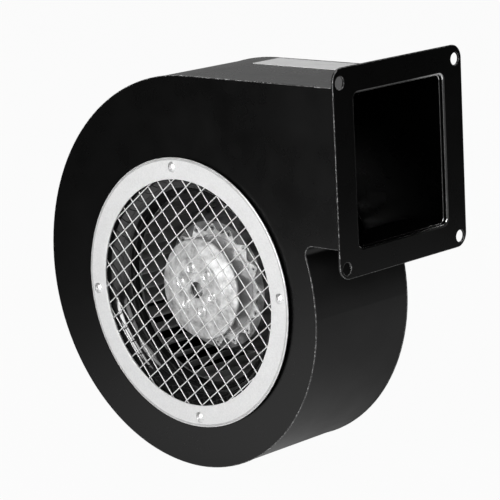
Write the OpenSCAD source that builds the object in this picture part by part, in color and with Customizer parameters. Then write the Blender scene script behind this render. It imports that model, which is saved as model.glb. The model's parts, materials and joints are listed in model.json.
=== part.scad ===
// Centrifugal fan: sheet-steel scroll, square outlet flange, wire inlet guard,
// forward-curved blade wheel and an external-rotor motor that carries it.
// +X leaves the outlet, -Y faces the inlet, +Z is up.
// The origin is the centre of the outlet bolt pattern, on the flange's outer face.

/* [Scroll housing] */
// Width across the outer faces of the two side plates
housing_w = 80.8; // [70:0.1:110]
// Thickness of each side plate
plate_t = 1; // [0.8:0.1:2]
// Thickness of the spiral wrapper
wrapper_t = 1; // [0.6:0.1:1.5]
// How far the side plates stand proud of the wrapper
plate_lip = 0.3; // [0.2:0.1:2]
// Fan axis to the scroll's edge on the outlet side
scroll_right = 99.2; // [95:0.1:115]
// Fan axis to the scroll's lowest edge
scroll_bottom = 106.1; // [100:0.1:120]
// Fan axis to the scroll's edge away from the outlet
scroll_left = 116.2; // [108:0.1:130]
// Fan axis to the scroll's top edge
scroll_top = 128.5; // [122:0.1:145]
// How far the lower arcs' centres lie from the fan axis, away from the outlet
spiral_shift = 2.5; // [0:0.1:5]
// How much larger the arc below the cut-off is than the one it continues
cutoff_flattening = 12; // [4:0.5:20]
// Radius of the curled cut-off tongue
tongue_r = 5.5; // [3:0.1:8]
// Height of the outlet duct across the plates' edges
duct_h = 90.5; // [70:0.1:95]

/* [Outlet flange] */
// Fan axis to the flange's outer face
outlet_reach = 132.1; // [125:0.1:170]
// Width of the flange, across the duct
flange_w = 110.7; // [104:0.1:140]
// Height of the flange
flange_h = 116.6; // [112:0.1:140]
// Thickness of the flange
flange_t = 1.5; // [1:0.1:3]
// Radius of the flange's corners
flange_corner_r = 8; // [3:0.5:12]
// Depth of the collar that enters the duct
collar_depth = 4; // [2:0.5:10]
// Thickness of the collar
collar_t = 1; // [0.5:0.1:1.5]
// Corner radius of the outlet opening
opening_corner_r = 3.5; // [1:0.5:8]
// Diameter of the flange's holes
bolt_hole_d = 7; // [4:0.1:9]
// Hole centres in from the flange's side edges
bolt_edge_y = 5.75; // [5:0.05:8]
// Hole centres in from the flange's top and bottom edges
bolt_edge_z = 7.2; // [5:0.05:9]
// How far the hole pattern's centre lies below the duct's centre
bolt_drop = 1; // [0:0.1:3]

/* [Inlet nozzle and guard] */
// Throat radius of the inlet nozzle
throat_r = 57; // [48:0.1:60]
// Bend radius of the nozzle's mouth
nozzle_bend_r = 12.5; // [8:0.1:14]
// Sheet thickness of the nozzle
nozzle_t = 0.8; // [0.6:0.1:1.5]
// Length of the straight throat behind the bend
throat_len = 2; // [1:0.1:4]
// Width of the guard ring's face
guard_ring_w = 13.4; // [11:0.1:18]
// Sheet thickness of the guard ring
guard_ring_t = 1; // [0.6:0.1:1.5]
// Radius of the guard ring's rounded front edge
guard_edge_r = 0.5; // [0.2:0.05:0.6]
// Wire diameter of the guard
wire_d = 0.8; // [0.6:0.1:1.5]
// Spacing of the guard's wires
wire_pitch = 8.73; // [6:0.01:14]
// Slope of the front layer's wires
wire_slope = 38.3; // [0:0.1:90]
// Sideways shift of the front layer's wires
front_wire_shift = 3.9; // [-7:0.1:7]
// Sideways shift of the back layer's wires
back_wire_shift = -2.3; // [-7:0.1:7]
// Number of rivets that hold the guard
guard_rivet_count = 4; // [3:1:8]
// Turn of the first rivet from the outlet direction
guard_rivet_turn = 4.5; // [0:0.5:90]
// Diameter of the guard rivets' heads
guard_rivet_head_d = 6.4; // [5:0.1:8]

/* [Impeller] */
// Number of blades
blade_count = 40; // [24:1:48]
// Radial depth of the blades
blade_depth = 12.4; // [9:0.1:13]
// Bend radius of the blades
blade_bend_r = 13; // [11:0.1:20]
// Sheet thickness of the blades
blade_t = 0.6; // [0.4:0.1:1]
// Sheet thickness of the rims and the hub
hub_t = 0.8; // [0.6:0.1:1.5]
// Axial gap between the nozzle and the impeller
inlet_gap = 2; // [1.5:0.1:5]
// Axial gap between the impeller and the rear plate
back_gap = 5; // [4:0.1:9]
// Radial gap inside the blades to the hub's cone
cone_gap = 4.5; // [2:0.1:8]

/* [Motor] */
// Diameter of the rotor can
rotor_d = 61; // [56:0.1:64]
// Depth of the rotor's face behind the front plate
rotor_depth = 6.4; // [4:0.1:10]
// Radius of the flat centre of the rotor's face
face_r = 19.5; // [18.5:0.1:21]
// How far the face falls back from its centre to the shoulder
face_drop = 2.9; // [1.5:0.1:4]
// Sheet thickness of the rotor can
can_t = 1.2; // [0.8:0.1:2]
// Radius of the rotor can's shoulder
can_shoulder_r = 1.5; // [1.5:0.1:3]
// Number of petals on the rotor's fixing ring
petal_count = 16; // [8:2:20]
// Reach of the petals beyond the can
petal_reach = 6.6; // [5:0.1:9]
// Depth of the petal ring behind the rotor's face
petal_depth = 16.1; // [12:0.1:20]
// Diameter of the shaft
shaft_d = 8; // [6:0.1:8.5]
// Air gap between rotor and stator
air_gap = 0.4; // [0.3:0.05:0.8]
// Number of stator slots
slot_count = 12; // [8:2:16]
// Thickness of the round motor plate on the rear
motor_plate_t = 1.5; // [1:0.1:3]
// Thickness of the motor's cast flange
motor_flange_t = 3; // [2:0.1:5]
// Diameter of the motor's cast flange
motor_flange_d = 88; // [84:0.1:110]
// Bolt circle of the motor's screws
motor_screw_pcd = 77; // [75:0.1:79]
// Bore of the cable grommet
grommet_bore_d = 6; // [4:0.1:7]

/* [Hidden] */
$fn = 96;
eps = 0.5;

// Fits inside one assembly: a slip fit between curved faces, and the races' play round the balls
slip = 0.02;
ball_play = 0.1;

// Scroll outline: four tangent arcs round the fan axis, each point as [x, z]
low_right_r = scroll_right + spiral_shift;
low_right_c = [-spiral_shift, low_right_r - scroll_bottom];
low_left_r = scroll_left - spiral_shift;
low_left_c = [-spiral_shift, low_left_r - scroll_bottom];
high_left_r = scroll_top - low_left_c[1];
high_left_c = [high_left_r - scroll_left, low_left_c[1]];
cutoff_r = low_right_r + cutoff_flattening;
cutoff_c = low_right_c - [cutoff_flattening, 0];
duct_bottom = scroll_top - duct_h;
duct_end = outlet_reach - flange_t;
tongue_rise = duct_bottom - tongue_r - cutoff_c[1];
tongue_c = cutoff_c + [sqrt(pow(cutoff_r + tongue_r, 2) - pow(tongue_rise, 2)), tongue_rise];
outlet_rise = scroll_top - duct_h / 2 - bolt_drop;

// Outlet opening, inside the collar
duct_in_w = housing_w - 2 * plate_t;
duct_in_h = duct_h - 2 * (plate_lip + wrapper_t);
opening_w = duct_in_w - 2 * collar_t;
opening_h = duct_in_h - 2 * collar_t;
bolt_spacing_y = flange_w - 2 * bolt_edge_y;
bolt_spacing_z = flange_h - 2 * bolt_edge_z;

// Inlet: the guard lies on the front plate, the nozzle behind it
inlet_hole_r = throat_r + nozzle_bend_r;
guard_overhang = 1.9;
mesh_overlap = 2.5;
rivet_margin = 1.1;
guard_in_r = inlet_hole_r - guard_overhang;
guard_out_r = guard_in_r + guard_ring_w;
mesh_r = inlet_hole_r + mesh_overlap;
wire_gap = 0.03;
mesh_angle = 90;
back_wire_y = -wire_d / 2 - wire_gap;
front_wire_y = back_wire_y - wire_d - wire_gap;
guard_back_y = front_wire_y - wire_d / 2 - wire_gap;
guard_front_y = guard_back_y - guard_ring_t;
guard_shank_r = 1.6;
guard_rivet_r = mesh_r + guard_shank_r + rivet_margin;
guard_rivet_head_h = 1.1;
guard_tail_r = 2.5;
guard_tail_h = 3;
guard_grip = plate_t + nozzle_t - guard_front_y;
nozzle_flange_inset = 1;
nozzle_flange_r = guard_out_r - nozzle_flange_inset;
nozzle_end_y = plate_t + nozzle_bend_r + throat_len;

// Impeller, from the nozzle to the rear plate
blade_throat_gap = 0.6;
rim_step = 0.4;
tab_from = 0.3;
tab_to = 0.6;
blade_in_r = throat_r + blade_throat_gap;
blade_out_r = blade_in_r + blade_depth;
rim_in_r = blade_in_r + rim_step;
rim_out_r = blade_out_r + slip + hub_t;
rim_lip = 3;
tab_in_r = blade_in_r + blade_depth * tab_from;
tab_out_r = blade_in_r + blade_depth * tab_to;
tab_proud = 0.6;
tab_play = 0.1;
rear_in_y = housing_w - plate_t;
rim_front_y = nozzle_end_y + inlet_gap;
hub_back_y = rear_in_y - back_gap;
hub_rim_y = hub_back_y - hub_t;

// Rotor, from its face to its open end
rotor_r = rotor_d / 2;
can_in_r = rotor_r - can_t;
can_back_gap = 13.8;
can_hole_gap = 1;
face_step = 0.2;
can_back_y = rear_in_y - can_back_gap;
can_floor_y = rotor_depth + can_t;
can_hole_r = shaft_d / 2 + can_hole_gap;
petal_y = rotor_depth + petal_depth;
petal_t = 1;
petal_band = 1.8;
petal_tip_half = 0.6;
petal_root_r = rotor_r + petal_band;
petal_tip_r = rotor_r + petal_reach;
petal_hole_r = (petal_root_r + petal_tip_r) / 2;
eyelet_r = 1.2;
eyelet_bore_r = 0.7;
eyelet_head_r = 1.8;
eyelet_head_h = 0.4;
hub_floor_y = petal_y + petal_t;
hub_floor_margin = 1.4;
hub_floor_r = petal_tip_r + hub_floor_margin;
cone_rear_r = blade_in_r - cone_gap;
cone_run = cone_rear_r - hub_floor_r;
cone_len = hub_rim_y - hub_floor_y;
cone_slant = norm([cone_run, cone_len]);
cone_mitre = hub_t * (cone_len / cone_slant - (1 - cone_run / cone_slant) * cone_run / cone_len);

// Bearings, shaft and rotor hub
bearing_r = 11;
bearing_w = 7;
race_t = 2.1;
ball_r = 2;
ball_count = 7;
ball_pitch_r = (shaft_d / 2 + bearing_r) / 2;
groove_r = ball_r + ball_play;
shield_t = 0.3;
shield_inset = 0.5;
shield_gap = 0.3;
front_bearing_depth = 13.1;
rear_bearing_gap = 13;
shaft_recess = 4;
shaft_tail = 3;
front_bearing_y = rotor_depth + front_bearing_depth;
rear_bearing_y = rear_in_y - rear_bearing_gap;
shaft_front_y = rotor_depth + shaft_recess;
shaft_back_y = rear_bearing_y + bearing_w + shaft_tail;
circlip_y = rear_bearing_y + bearing_w + slip;
circlip_t = 0.8;
circlip_w = 1.6;
circlip_r = shaft_d / 2 + circlip_w;
circlip_groove = 0.4;
circlip_mouth = 3;
rotor_hub_r = 17.5;
rotor_hub_t = 3.5;
boss_r = 9;
boss_gap = 1;
stud_count = 6;
stud_circle_r = 13;
stud_turn = 46;
stud_r = 1.6;
stud_head_r = 3.2;
stud_head_h = 1.6;
stud_hollow_r = 2.3;
stud_hollow_bend = 6;

// Rotor and stator iron
core_front_depth = 15.6;
core_back_gap = 6;
cage_t = 4.6;
core_front_y = rotor_depth + core_front_depth;
core_back_y = can_back_y - core_back_gap;
core_len = core_back_y - core_front_y;
cage_in_r = can_in_r - cage_t;
end_ring_h = 3;
end_ring_step = 0.4;
stator_r = cage_in_r - air_gap;
tube_r = 13.5;
tube_front_lip = 1;
tube_front_y = front_bearing_y - tube_front_lip;
tube_land_r = 9.5;
slot_root = 2.8;
slot_tip = 1.3;
slot_in_r = tube_r + slot_root;
slot_out_r = stator_r - slot_tip;
slot_w = 3.6;
slot_mouth = 1.4;
liner_t = 0.4;
insulator_t = 0.8;
end_turn_h = 6;
end_turn_step = 1;

// Rear: motor plate over the service hole, then the cast flange
rear_hole_gap = 4.3;
plate_screw_margin = 5;
motor_plate_margin = 4.5;
rear_hole_r = rim_out_r + rear_hole_gap;
plate_screw_circle_r = rear_hole_r + plate_screw_margin;
motor_plate_r = plate_screw_circle_r + motor_plate_margin;
plate_screw_count = 6;
motor_screw_count = 4;
motor_screw_turn = 45;
motor_screw_circle_r = motor_screw_pcd / 2;
motor_plate_back_y = housing_w + motor_plate_t;
motor_back_y = motor_plate_back_y + motor_flange_t;
spigot_r = 34;
spigot_depth = 2;
screw_shank_r = 2;
screw_head_r = 3.8;
screw_head_h = 2.6;
nut_r = 3.9;
nut_h = 3;
screw_tail = 1;
cap_t = 1.5;
cap_skirt = 3;
grommet_circle_r = 25;
grommet_turn = -90;
grommet_wall = 2;
grommet_lip_w = 1.6;
grommet_groove_r = grommet_bore_d / 2 + grommet_wall;
grommet_lip_r = grommet_groove_r + grommet_lip_w;
grommet_lip_h = 1.8;

black_coat = [0.045, 0.045, 0.05];
gloss_black = [0.03, 0.03, 0.03];
zinc = [0.8, 0.81, 0.82];
bright_steel = [0.7, 0.71, 0.73];
iron = [0.33, 0.33, 0.35];
cast_alloy = [0.62, 0.63, 0.65];
copper = [0.7, 0.38, 0.2];
nylon = [0.88, 0.86, 0.8];
rubber = [0.06, 0.06, 0.06];

// Places a shape drawn round the fan axis, with y measured from the front plate's outer face
module on_fan_axis() {
    translate([-outlet_reach, -housing_w / 2, -outlet_rise]) children();
}

// Extrudes an [x, z] sketch along the fan axis
module across(y, depth) {
    translate([0, y + depth, 0])
        rotate([90, 0, 0])
            linear_extrude(depth) children();
}

// Turns a [radius, y] sketch round the fan axis
module turned() {
    rotate([-90, 0, 0]) rotate_extrude() children();
}

// Repeats a shape round the fan axis, at a radius
module ring_of(count, r, turn = 0) {
    for (i = [0 : count - 1]) {
        a = turn + i * 360 / count;
        translate([r * cos(a), 0, r * sin(a)]) children();
    }
}

// Repeats a sketch round the fan axis, at a radius
module sketch_ring(count, r, turn = 0) {
    for (i = [0 : count - 1])
        rotate(turn + i * 360 / count) translate([r, 0]) children();
}

// A box in a [radius, y] sketch
module band(r_in, r_out, y_from, y_to) {
    translate([r_in, y_from]) square([r_out - r_in, y_to - y_from]);
}

// Quarter disc with its corner at c, towards the given signs
module quarter(c, r, sx, sz) {
    translate(c)
        intersection() {
            circle(r);
            translate([sx < 0 ? -r : 0, sz < 0 ? -r : 0]) square(r);
        }
}

// Rectangle with round corners, centred
module rounded_rect(w, h, r) {
    square([w - 2 * r, h], center = true);
    square([w, h - 2 * r], center = true);
    for (sx = [-1, 1], sy = [-1, 1])
        translate([sx * (w / 2 - r), sy * (h / 2 - r)]) circle(r);
}

// Fill of the inside corner between scroll and duct, rounded by the tongue
module tongue_fill(inset) {
    towards = (tongue_c - cutoff_c) / norm(tongue_c - cutoff_c);
    on_arc = cutoff_c + towards * (cutoff_r - inset);
    on_duct = [tongue_c[0], duct_bottom + inset];
    difference() {
        polygon([
            on_arc,
            tongue_c,
            on_duct,
            on_duct + [0, tongue_r],
            [on_arc[0] - tongue_r, on_duct[1] + tongue_r],
            on_arc - [tongue_r, 0]
        ]);
        translate(tongue_c) circle(tongue_r + inset);
    }
}

// Scroll and duct outline, moved in by inset
module scroll_sketch(inset, x_end) {
    quarter(low_right_c, low_right_r - inset, 1, -1);
    quarter(low_left_c, low_left_r - inset, -1, -1);
    quarter(high_left_c, high_left_r - inset, -1, 1);
    quarter(cutoff_c, cutoff_r - inset, 1, 1);
    translate([high_left_c[0], duct_bottom + inset])
        square([x_end - high_left_c[0], duct_h - 2 * inset]);
    tongue_fill(inset);
}

// Domed head on a shank, along +y from its seat at y = 0
module dome_pin(head_r, head_h, shank_r, shank_len) {
    dome_r = (head_r * head_r + head_h * head_h) / (2 * head_h);
    turned() {
        intersection() {
            translate([0, dome_r - head_h]) circle(dome_r);
            band(0, head_r, -head_h, 0);
        }
        band(0, shank_r, -eps * head_h, shank_len);
    }
}

// Pin with a domed head that has a hollow pressed into it
module staked_pin(head_r, head_h, hollow_r, hollow_bend, shank_r, shank_len) {
    dome_r = (head_r * head_r + head_h * head_h) / (2 * head_h);
    rim_y = dome_r - head_h - sqrt(dome_r * dome_r - hollow_r * hollow_r);
    turned() {
        difference() {
            intersection() {
                translate([0, dome_r - head_h]) circle(dome_r);
                band(0, head_r, -head_h, 0);
            }
            translate([0, rim_y - sqrt(hollow_bend * hollow_bend - hollow_r * hollow_r)]) circle(hollow_bend);
        }
        band(0, shank_r, -eps * head_h, shank_len);
    }
}

module front_plate() {
    color(black_coat) on_fan_axis() across(0, plate_t)
        difference() {
            scroll_sketch(0, duct_end);
            circle(inlet_hole_r);
            sketch_ring(guard_rivet_count, guard_rivet_r, guard_rivet_turn) circle(guard_shank_r + slip);
        }
}

module rear_plate() {
    color(black_coat) on_fan_axis() across(rear_in_y, plate_t)
        difference() {
            scroll_sketch(0, duct_end);
            circle(rear_hole_r);
            sketch_ring(plate_screw_count, plate_screw_circle_r) circle(screw_shank_r + slip);
        }
}

module scroll_wrapper() {
    color(black_coat) on_fan_axis() across(plate_t, duct_in_w)
        difference() {
            scroll_sketch(plate_lip, duct_end);
            scroll_sketch(plate_lip + wrapper_t, duct_end + eps);
        }
}

module outlet_flange() {
    color(black_coat) translate([0, 0, bolt_drop]) rotate([90, 0, 90]) {
        translate([0, 0, -flange_t])
            linear_extrude(flange_t)
                difference() {
                    rounded_rect(flange_w, flange_h, flange_corner_r);
                    rounded_rect(opening_w, opening_h, opening_corner_r);
                    for (sy = [-1, 1], sz = [-1, 1])
                        translate([sy * bolt_spacing_y / 2, sz * bolt_spacing_z / 2 - bolt_drop])
                            circle(bolt_hole_d / 2);
                }
        translate([0, 0, -flange_t - collar_depth])
            linear_extrude(collar_depth)
                difference() {
                    rounded_rect(duct_in_w, duct_in_h, opening_corner_r + collar_t);
                    rounded_rect(opening_w, opening_h, opening_corner_r);
                }
    }
}

module inlet_nozzle() {
    bend_c = [inlet_hole_r, plate_t + nozzle_bend_r];
    color(gloss_black) on_fan_axis()
        difference() {
            turned() {
                band(inlet_hole_r, nozzle_flange_r, plate_t, plate_t + nozzle_t);
                difference() {
                    quarter(bend_c, nozzle_bend_r, -1, -1);
                    translate(bend_c) circle(nozzle_bend_r - nozzle_t);
                }
                band(throat_r, throat_r + nozzle_t, bend_c[1], nozzle_end_y);
            }
            ring_of(guard_rivet_count, guard_rivet_r, guard_rivet_turn)
                turned() band(0, guard_shank_r + slip, 0, plate_t + nozzle_t + eps);
        }
}

// Flat guard ring with a rounded front edge, clamped over the mesh
module guard_ring() {
    edge_c = [guard_out_r - guard_edge_r, guard_front_y + guard_edge_r];
    color(zinc) on_fan_axis()
        difference() {
            turned() {
                band(guard_in_r, edge_c[0], guard_front_y, guard_back_y);
                quarter(edge_c, guard_edge_r, 1, -1);
                band(edge_c[0], guard_out_r, edge_c[1], guard_back_y);
            }
            ring_of(guard_rivet_count, guard_rivet_r, guard_rivet_turn)
                turned() band(0, guard_shank_r + slip, guard_front_y - eps, guard_back_y + eps);
        }
}

// One layer of straight wires, ending under the guard ring
module wire_layer(y, slope, shift) {
    reach = mesh_r - wire_d;
    for (i = [-ceil(reach / wire_pitch) : ceil(reach / wire_pitch)]) {
        off = shift + i * wire_pitch;
        if (abs(off) < reach) {
            half = sqrt(mesh_r * mesh_r - off * off);
            translate([0, y, 0])
                rotate([0, -slope, 0])
                    translate([0, 0, off])
                        rotate([0, 90, 0]) cylinder(h = 2 * half, d = wire_d, center = true);
        }
    }
}

module guard_wires_front() {
    color(zinc) on_fan_axis() wire_layer(front_wire_y, wire_slope, front_wire_shift);
}

module guard_wires_back() {
    color(zinc) on_fan_axis() wire_layer(back_wire_y, wire_slope - mesh_angle, back_wire_shift);
}

// Blind rivets through ring, plate and nozzle, with their set tails behind
module guard_rivets() {
    color(zinc) on_fan_axis() ring_of(guard_rivet_count, guard_rivet_r, guard_rivet_turn)
        translate([0, guard_front_y, 0]) {
            dome_pin(guard_rivet_head_d / 2, guard_rivet_head_h, guard_shank_r, guard_grip);
            turned() band(0, guard_tail_r, guard_grip, guard_grip + guard_tail_h);
        }
}

// Round plate that closes the rear service hole and carries the motor
module motor_plate() {
    color(black_coat) on_fan_axis() across(housing_w, motor_plate_t)
        difference() {
            circle(motor_plate_r);
            circle(spigot_r + slip);
            sketch_ring(plate_screw_count, plate_screw_circle_r) circle(screw_shank_r + slip);
            sketch_ring(motor_screw_count, motor_screw_circle_r, motor_screw_turn)
                circle(screw_shank_r + slip);
        }
}

// Screw from behind, along -y from its seat
module rear_screw(seat_y, tip_y) {
    translate([0, seat_y, 0])
        mirror([0, 1, 0]) dome_pin(screw_head_r, screw_head_h, screw_shank_r, seat_y - tip_y);
}

// Hexagon nut in front of a seat
module front_nut(seat_y) {
    across(seat_y - nut_h, nut_h)
        difference() {
            circle(nut_r, $fn = 6);
            circle(screw_shank_r + slip);
        }
}

module plate_screws() {
    color(bright_steel) on_fan_axis() ring_of(plate_screw_count, plate_screw_circle_r)
        rear_screw(motor_plate_back_y, rear_in_y - nut_h - screw_tail);
}

module plate_nuts() {
    color(bright_steel) on_fan_axis() ring_of(plate_screw_count, plate_screw_circle_r)
        front_nut(rear_in_y);
}

// Cast flange with its spigot
module motor_flange() {
    color(cast_alloy) on_fan_axis()
        difference() {
            turned() {
                band(tube_r + slip, motor_flange_d / 2, motor_plate_back_y, motor_back_y);
                band(tube_r + slip, spigot_r, housing_w - spigot_depth, motor_plate_back_y);
            }
            ring_of(motor_screw_count, motor_screw_circle_r, motor_screw_turn)
                turned() band(0, screw_shank_r + slip, housing_w, motor_back_y + eps);
            ring_of(1, grommet_circle_r, grommet_turn)
                turned()
                    band(0, grommet_groove_r + slip, housing_w - spigot_depth - eps, motor_back_y + eps);
        }
}

// Steel tube pressed into the flange, with a bearing seat at each end and the stator on it
module bearing_tube() {
    seat_r = bearing_r + slip;
    color(bright_steel) on_fan_axis() turned()
        difference() {
            band(tube_land_r, tube_r, tube_front_y, motor_back_y);
            band(0, seat_r, tube_front_y - eps, front_bearing_y + bearing_w);
            band(0, seat_r, rear_bearing_y, motor_back_y + eps);
        }
}

module motor_screws() {
    color(bright_steel) on_fan_axis() ring_of(motor_screw_count, motor_screw_circle_r, motor_screw_turn)
        rear_screw(motor_back_y, housing_w - nut_h - screw_tail);
}

module motor_nuts() {
    color(bright_steel) on_fan_axis() ring_of(motor_screw_count, motor_screw_circle_r, motor_screw_turn)
        front_nut(housing_w);
}

// Pressed cap that closes the rear end of the bearing tube
module bearing_cap() {
    color(zinc) on_fan_axis() turned() {
        band(0, tube_r, motor_back_y, motor_back_y + cap_t);
        band(bearing_r - cap_t, bearing_r, motor_back_y - cap_skirt, motor_back_y);
    }
}

module cable_grommet() {
    front_y = housing_w - spigot_depth;
    color(rubber) on_fan_axis() ring_of(1, grommet_circle_r, grommet_turn) turned()
        difference() {
            union() {
                band(0, grommet_groove_r, front_y - grommet_lip_h, motor_back_y + grommet_lip_h);
                band(0, grommet_lip_r, front_y - grommet_lip_h, front_y);
                band(0, grommet_lip_r, motor_back_y, motor_back_y + grommet_lip_h);
            }
            band(0, grommet_bore_d / 2, front_y - grommet_lip_h - eps, motor_back_y + grommet_lip_h + eps);
        }
}

// Slots of the stator, each narrowing to its mouth
module slot_sketch(shrink) {
    sketch_ring(slot_count, 0) {
        translate([slot_in_r + shrink, -slot_w / 2 + shrink])
            square([slot_out_r - slot_in_r - 2 * shrink, slot_w - 2 * shrink]);
    }
}

module stator_core() {
    color(iron) on_fan_axis() across(core_front_y, core_len)
        difference() {
            circle(stator_r);
            circle(tube_r + slip);
            slot_sketch(0);
            sketch_ring(slot_count, 0)
                translate([slot_in_r, -slot_mouth / 2]) square([stator_r, slot_mouth]);
        }
}

// Insulating discs on both ends of the stator
module stator_insulators() {
    color(nylon) on_fan_axis() for (y = [core_front_y - insulator_t, core_back_y])
        across(y, insulator_t)
            difference() {
                circle(stator_r - air_gap);
                circle(tube_r + slip);
                slot_sketch(0);
            }
}

// Coils: bars in the slots and a round end turn at each end
module stator_windings() {
    color(copper) on_fan_axis() {
        across(core_front_y - insulator_t, core_len + 2 * insulator_t) slot_sketch(liner_t);
        for (y = [core_front_y - insulator_t - end_turn_h, core_back_y + insulator_t])
            turned() {
                band(slot_in_r, slot_out_r, y + end_turn_step, y + end_turn_h - end_turn_step);
                band(slot_in_r + end_turn_step, slot_out_r - end_turn_step, y, y + end_turn_h);
            }
    }
}

// Ring of a ball bearing with its ball groove
module bearing_ring(y, r_in, r_out) {
    translate([0, y, 0]) turned()
        difference() {
            band(r_in, r_out, 0, bearing_w);
            translate([ball_pitch_r, bearing_w / 2]) circle(groove_r);
        }
}

module bearing_outer_rings() {
    color(bright_steel) on_fan_axis() for (y = [front_bearing_y, rear_bearing_y])
        bearing_ring(y, bearing_r - race_t, bearing_r);
}

module bearing_inner_rings() {
    color(bright_steel) on_fan_axis() for (y = [front_bearing_y, rear_bearing_y])
        bearing_ring(y, shaft_d / 2 + slip, shaft_d / 2 + race_t);
}

module bearing_balls() {
    color(bright_steel) on_fan_axis() for (y = [front_bearing_y, rear_bearing_y])
        ring_of(ball_count, ball_pitch_r)
            translate([0, y + bearing_w / 2, 0]) sphere(ball_r);
}

// Dust shields, held in the outer rings and clear of the inner ones
module bearing_shields() {
    color(zinc) on_fan_axis() for (y = [front_bearing_y, rear_bearing_y],
                                   side = [shield_inset, bearing_w - shield_inset - shield_t])
        translate([0, y, 0]) turned()
            band(shaft_d / 2 + race_t + shield_gap, bearing_r - race_t - slip, side, side + shield_t);
}

// Deep-drawn can, closed towards the inlet
module rotor_can() {
    edge_y = rotor_depth + face_drop;
    shoulder_c = [rotor_r - can_shoulder_r, edge_y + can_shoulder_r];
    color(zinc) on_fan_axis()
        difference() {
            turned() {
                polygon([
                    [can_hole_r, rotor_depth],
                    [face_r, rotor_depth],
                    [face_r + face_step, rotor_depth + face_step],
                    [shoulder_c[0], edge_y],
                    [shoulder_c[0], edge_y + can_t],
                    [face_r + face_step, can_floor_y + face_step],
                    [face_r, can_floor_y],
                    [can_hole_r, can_floor_y]
                ]);
                difference() {
                    quarter(shoulder_c, can_shoulder_r, 1, -1);
                    translate(shoulder_c) circle(can_shoulder_r - can_t);
                }
                band(can_in_r, rotor_r, shoulder_c[1], can_back_y);
            }
            ring_of(stud_count, stud_circle_r, stud_turn)
                turned() band(0, stud_r + slip, rotor_depth - eps, can_floor_y + eps);
        }
}

// Pins staked over the can, which hold it to its hub
module rotor_studs() {
    color(zinc) on_fan_axis() ring_of(stud_count, stud_circle_r, stud_turn)
        translate([0, rotor_depth, 0])
            staked_pin(stud_head_r, stud_head_h, stud_hollow_r, stud_hollow_bend, stud_r, can_t + rotor_hub_t);
}

// Flanged hub behind the can's face, with a boss that grips the shaft
module rotor_hub() {
    color(cast_alloy) on_fan_axis()
        difference() {
            turned() {
                band(shaft_d / 2 + slip, rotor_hub_r, can_floor_y, can_floor_y + rotor_hub_t);
                band(shaft_d / 2 + slip, boss_r, can_floor_y, tube_front_y - boss_gap);
            }
            ring_of(stud_count, stud_circle_r, stud_turn)
                turned() band(0, stud_r + slip, can_floor_y - eps, can_floor_y + rotor_hub_t + eps);
        }
}

module shaft() {
    color(bright_steel) on_fan_axis() turned()
        difference() {
            band(0, shaft_d / 2, shaft_front_y, shaft_back_y);
            band(shaft_d / 2 - circlip_groove, shaft_d, circlip_y, circlip_y + circlip_t);
        }
}

module shaft_circlip() {
    color(bright_steel) on_fan_axis() across(circlip_y, circlip_t)
        difference() {
            circle(circlip_r);
            circle(shaft_d / 2 - circlip_groove + slip);
            translate([0, -circlip_mouth / 2]) square([circlip_r + eps, circlip_mouth]);
        }
}

module rotor_core() {
    color(iron) on_fan_axis() turned()
        band(cage_in_r, can_in_r - slip, core_front_y, core_back_y);
}

module rotor_end_rings() {
    color(cast_alloy) on_fan_axis() turned() {
        band(cage_in_r + end_ring_step, can_in_r - slip, core_front_y - end_ring_h, core_front_y);
        band(cage_in_r + end_ring_step, can_in_r - slip, core_back_y, core_back_y + end_ring_h);
    }
}

// Ring of pointed petals round the can, which the hub is fixed to
module petal_ring() {
    half_pitch = 180 / petal_count;
    root_r = petal_root_r * cos(half_pitch);
    color(zinc) on_fan_axis() across(petal_y, petal_t)
        difference() {
            union() {
                circle(petal_root_r);
                sketch_ring(petal_count, 0)
                    polygon([
                        root_r * [cos(half_pitch), -sin(half_pitch)],
                        [petal_tip_r, -petal_tip_half],
                        [petal_tip_r, petal_tip_half],
                        root_r * [cos(half_pitch), sin(half_pitch)]
                    ]);
            }
            circle(rotor_r + slip);
            sketch_ring(petal_count, petal_hole_r) circle(eyelet_r + slip);
        }
}

// Hollow rivets through petals and hub
module hub_eyelets() {
    color(bright_steel) on_fan_axis() ring_of(petal_count, petal_hole_r) translate([0, petal_y, 0])
        turned() {
            band(eyelet_bore_r, eyelet_r, -eyelet_head_h, petal_t + hub_t + eyelet_head_h);
            band(eyelet_bore_r, eyelet_head_r, -eyelet_head_h, 0);
            band(eyelet_bore_r, eyelet_head_r, petal_t + hub_t, petal_t + hub_t + eyelet_head_h);
        }
}

// One blade's arc between two radii, leaning the way the wheel turns
module blade_sketch(r_from, r_to, play) {
    bend_c = [blade_in_r, -blade_bend_r];
    intersection() {
        translate(bend_c)
            difference() {
                circle(blade_bend_r + play);
                circle(blade_bend_r - blade_t - play);
            }
        difference() {
            circle(r_to);
            circle(r_from);
        }
        translate([blade_in_r - blade_depth, -blade_bend_r]) square([3 * blade_depth, 2 * blade_bend_r]);
    }
}

module impeller_blades() {
    color(black_coat) on_fan_axis() {
        across(rim_front_y + hub_t, hub_rim_y - rim_front_y - hub_t)
            sketch_ring(blade_count, 0) blade_sketch(blade_in_r, blade_out_r, 0);
        across(rim_front_y - tab_proud, hub_back_y - rim_front_y + 2 * tab_proud)
            sketch_ring(blade_count, 0) blade_sketch(tab_in_r, tab_out_r, 0);
    }
}

// Slots that the blades' tabs pass through
module tab_slots() {
    sketch_ring(blade_count, 0) blade_sketch(tab_in_r - tab_play, tab_out_r + tab_play, tab_play);
}

// Front rim of the wheel, with its edge turned back over the blades
module impeller_rim() {
    color(zinc) on_fan_axis() {
        across(rim_front_y, hub_t)
            difference() {
                circle(rim_out_r);
                circle(rim_in_r);
                tab_slots();
            }
        turned() band(rim_out_r - hub_t, rim_out_r, rim_front_y + hub_t, rim_front_y + hub_t + rim_lip);
    }
}

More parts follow.
